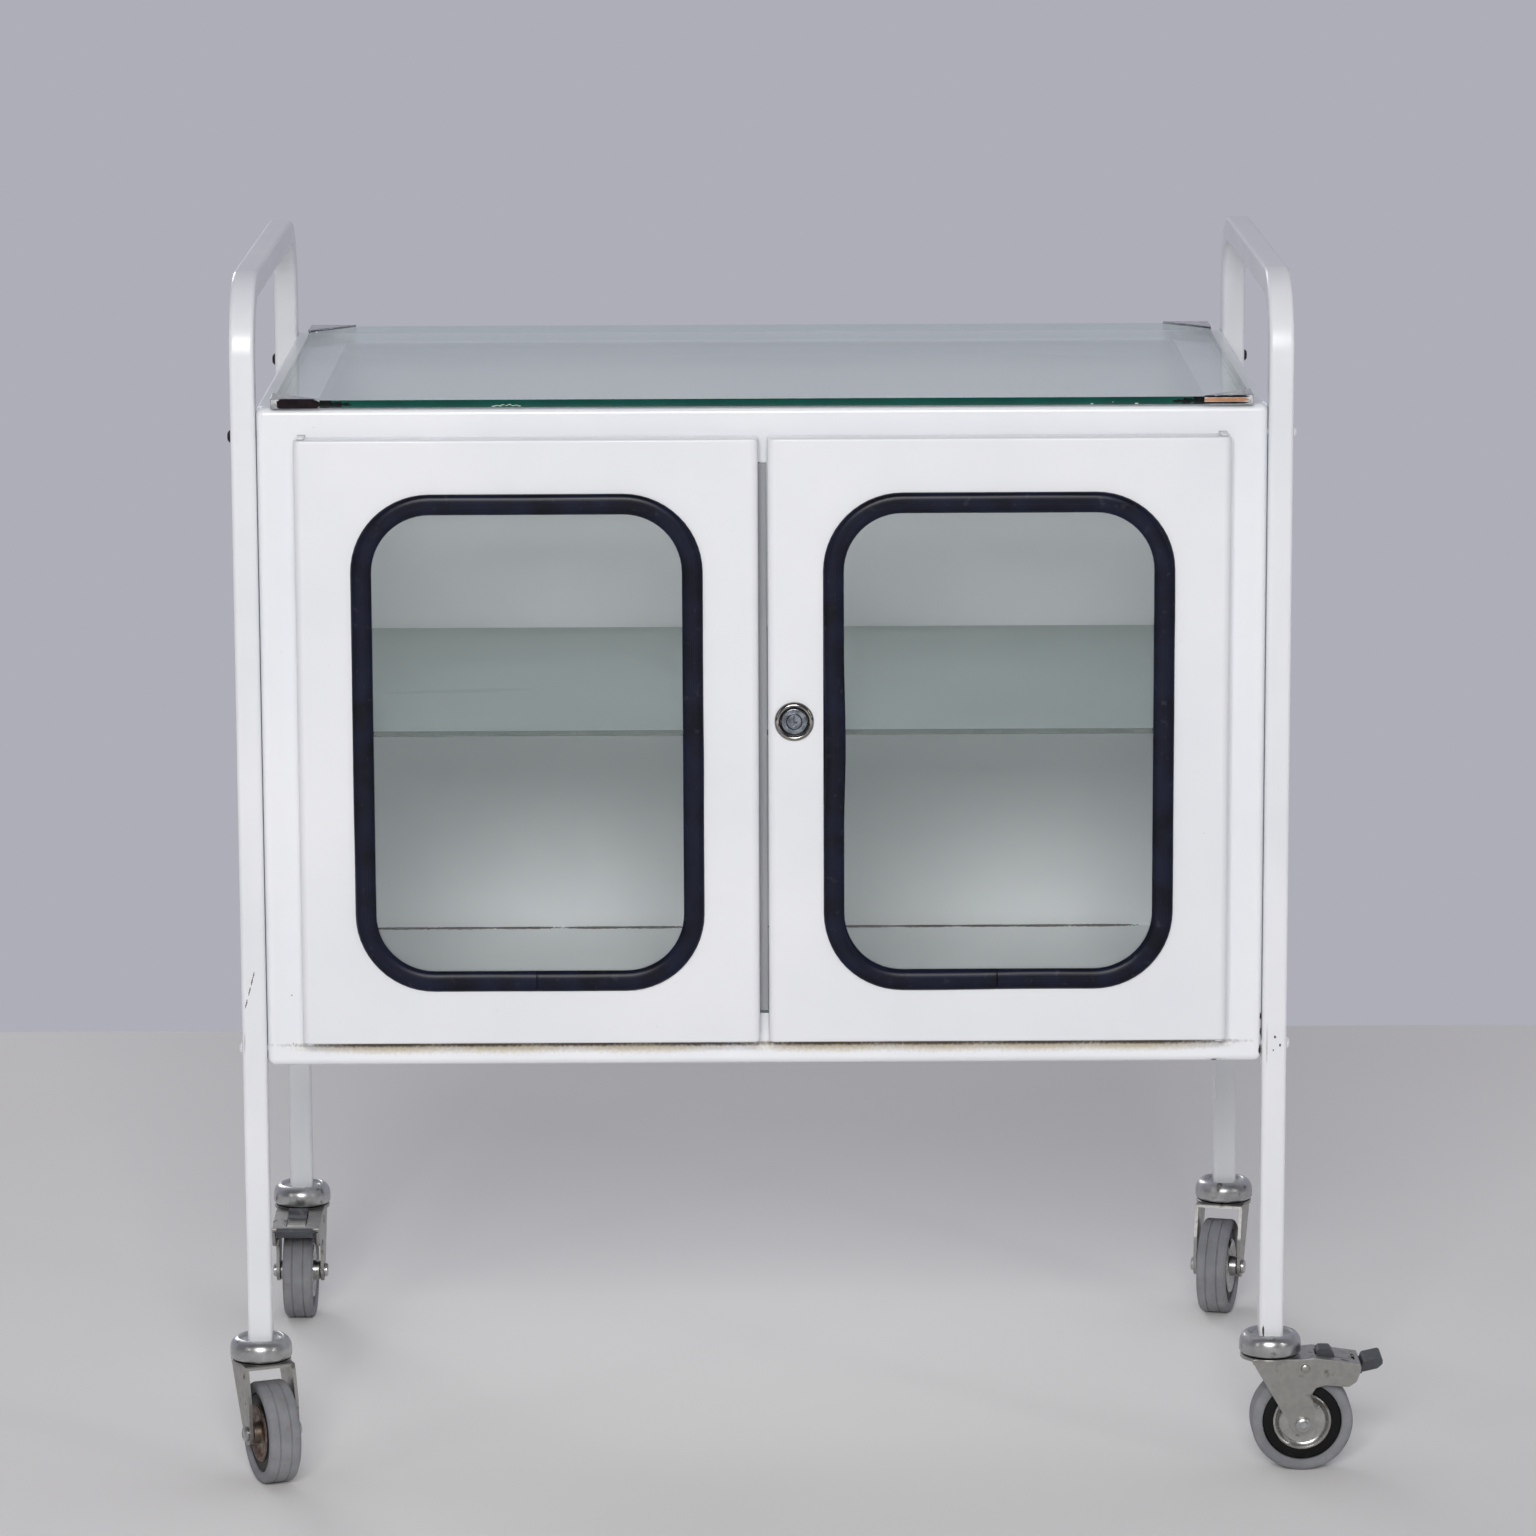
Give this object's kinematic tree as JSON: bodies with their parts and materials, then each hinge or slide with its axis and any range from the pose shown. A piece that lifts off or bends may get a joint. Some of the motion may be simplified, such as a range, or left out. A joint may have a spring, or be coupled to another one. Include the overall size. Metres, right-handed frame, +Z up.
{
  "type": "hospital trolley",
  "caption": "White steel hospital trolley on swivel casters: bent-tube side frames with push handles, a cabinet with glazed lockable doors, a glass shelf and a glass work top.",
  "frame": {"origin": "on the floor, under the middle of the whole trolley with its casters as they stand", "axes": "+Z up; the doors face -Y; +X to the right as seen from the front"},
  "size_m": [0.8491, 0.5331, 0.886],
  "materials": {
    "white_enamel": "gloss enamel on steel, lightly worn",
    "zinc_plate": "bright zinc plate, dulled",
    "chrome": "polished chrome",
    "dark_steel": "darkened steel",
    "black_rubber": "smooth black rubber",
    "grey_tyre": "grey non-marking rubber, dusty",
    "grey_plastic": "moulded grey plastic",
    "clear_glass": "clear float glass with a green edge",
    "frosted_glass": "frosted glass",
    "wheel_steel": "pressed steel disc in a dark rim"
  },
  "bodies": {
    "trolley": {"left_side_frame": "white_enamel", "right_side_frame": "white_enamel", "front_frame": "white_enamel", "left_side_panel": "white_enamel", "right_side_panel": "white_enamel", "back_panel": "white_enamel", "floor_panel": "white_enamel", "glass_top": "clear_glass", "front_left_glass_clip": "chrome", "front_right_glass_clip": "chrome", "rear_left_glass_clip": "chrome", "rear_right_glass_clip": "chrome", "shelf_glass": "frosted_glass", "left_shelf_rail": "white_enamel", "right_shelf_rail": "white_enamel", "front_left_lower_screw": "dark_steel", "front_left_upper_screw": "dark_steel", "front_right_lower_screw": "dark_steel", "front_right_upper_screw": "dark_steel", "rear_left_lower_screw": "dark_steel", "rear_left_upper_screw": "dark_steel", "rear_right_lower_screw": "dark_steel", "rear_right_upper_screw": "dark_steel", "left_bottom_hinge_tab": "white_enamel", "left_top_hinge_tab": "white_enamel", "right_bottom_hinge_tab": "white_enamel", "right_top_hinge_tab": "white_enamel", "door_catch": "grey_plastic", "front_left_caster_cup": "zinc_plate", "front_right_caster_cup": "zinc_plate", "rear_left_caster_cup": "zinc_plate", "rear_right_caster_cup": "zinc_plate"},
    "left_door": {"left_door": "white_enamel", "left_gasket": "black_rubber", "left_pane": "clear_glass", "lap_strip": "white_enamel"},
    "right_door": {"right_door": "white_enamel", "right_gasket": "black_rubber", "right_pane": "clear_glass", "lock_case": "chrome"},
    "lock": {"lock_plug": "chrome", "lock_cam": "zinc_plate"},
    "front_left_fork": {"front_left_fork": "zinc_plate", "front_left_axle": "zinc_plate"},
    "front_right_fork": {"front_right_fork": "zinc_plate", "front_right_axle": "zinc_plate"},
    "rear_left_fork": {"rear_left_fork": "zinc_plate", "rear_left_axle": "zinc_plate"},
    "rear_right_fork": {"rear_right_fork": "zinc_plate", "rear_right_axle": "zinc_plate"},
    "front_left_wheel": {"front_left_hub": "wheel_steel", "front_left_tyre": "grey_tyre"},
    "front_right_wheel": {"front_right_hub": "wheel_steel", "front_right_tyre": "grey_tyre"},
    "rear_left_wheel": {"rear_left_hub": "wheel_steel", "rear_left_tyre": "grey_tyre"},
    "rear_right_wheel": {"rear_right_hub": "wheel_steel", "rear_right_tyre": "grey_tyre"},
    "front_right_pedal": {"front_right_brake_pedal": "grey_plastic"},
    "rear_left_pedal": {"rear_left_brake_pedal": "grey_plastic"}
  },
  "joints": [
    {"name": "left_door_swing", "type": "hinge", "parent": "trolley", "child": "left_door", "pos_m": [-0.3599, -0.22628, 0.33], "axis": [0, 0, -1], "range_deg": [0, 170]},
    {"name": "right_door_swing", "type": "hinge", "parent": "trolley", "child": "right_door", "pos_m": [0.3007, -0.22628, 0.33], "axis": [0, 0, 1], "range_deg": [0, 170]},
    {"name": "lock_turn", "type": "hinge", "parent": "right_door", "child": "lock", "pos_m": [-0.0074, -0.23228, 0.567], "axis": [0, 1, 0], "range_deg": [0, 90]},
    {"name": "front_left_swivel", "type": "hinge", "parent": "trolley", "child": "front_left_fork", "pos_m": [-0.4016, -0.20578, 0.0875], "axis": [0, 0, 1], "continuous": true},
    {"name": "front_right_swivel", "type": "hinge", "parent": "trolley", "child": "front_right_fork", "pos_m": [0.3424, -0.20578, 0.0875], "axis": [0, 0, 1], "continuous": true},
    {"name": "rear_left_swivel", "type": "hinge", "parent": "trolley", "child": "rear_left_fork", "pos_m": [-0.4016, 0.24422, 0.0875], "axis": [0, 0, 1], "continuous": true},
    {"name": "rear_right_swivel", "type": "hinge", "parent": "trolley", "child": "rear_right_fork", "pos_m": [0.3424, 0.24422, 0.0875], "axis": [0, 0, 1], "continuous": true},
    {"name": "front_left_roll", "type": "hinge", "parent": "front_left_fork", "child": "front_left_wheel", "pos_m": [-0.39317, -0.22772, 0.0375], "axis": [0.9336, 0.3584, 0], "continuous": true},
    {"name": "front_right_roll", "type": "hinge", "parent": "front_right_fork", "child": "front_right_wheel", "pos_m": [0.3659, -0.20578, 0.0375], "axis": [0, 1, 0], "continuous": true},
    {"name": "rear_left_roll", "type": "hinge", "parent": "rear_left_fork", "child": "rear_left_wheel", "pos_m": [-0.40201, 0.22073, 0.0375], "axis": [0.9998, -0.0175, 0], "continuous": true},
    {"name": "rear_right_roll", "type": "hinge", "parent": "rear_right_fork", "child": "rear_right_wheel", "pos_m": [0.33672, 0.22142, 0.0375], "axis": [0.9703, -0.2419, 0], "continuous": true},
    {"name": "front_right_brake", "type": "hinge", "parent": "front_right_fork", "child": "front_right_pedal", "pos_m": [0.36711, -0.20578, 0.07996], "axis": [0, 1, 0], "range_deg": [0, 10]},
    {"name": "rear_left_brake", "type": "hinge", "parent": "rear_left_fork", "child": "rear_left_pedal", "pos_m": [-0.40203, 0.21952, 0.07996], "axis": [0.9998, -0.0175, 0], "range_deg": [0, 10]}
  ]
}
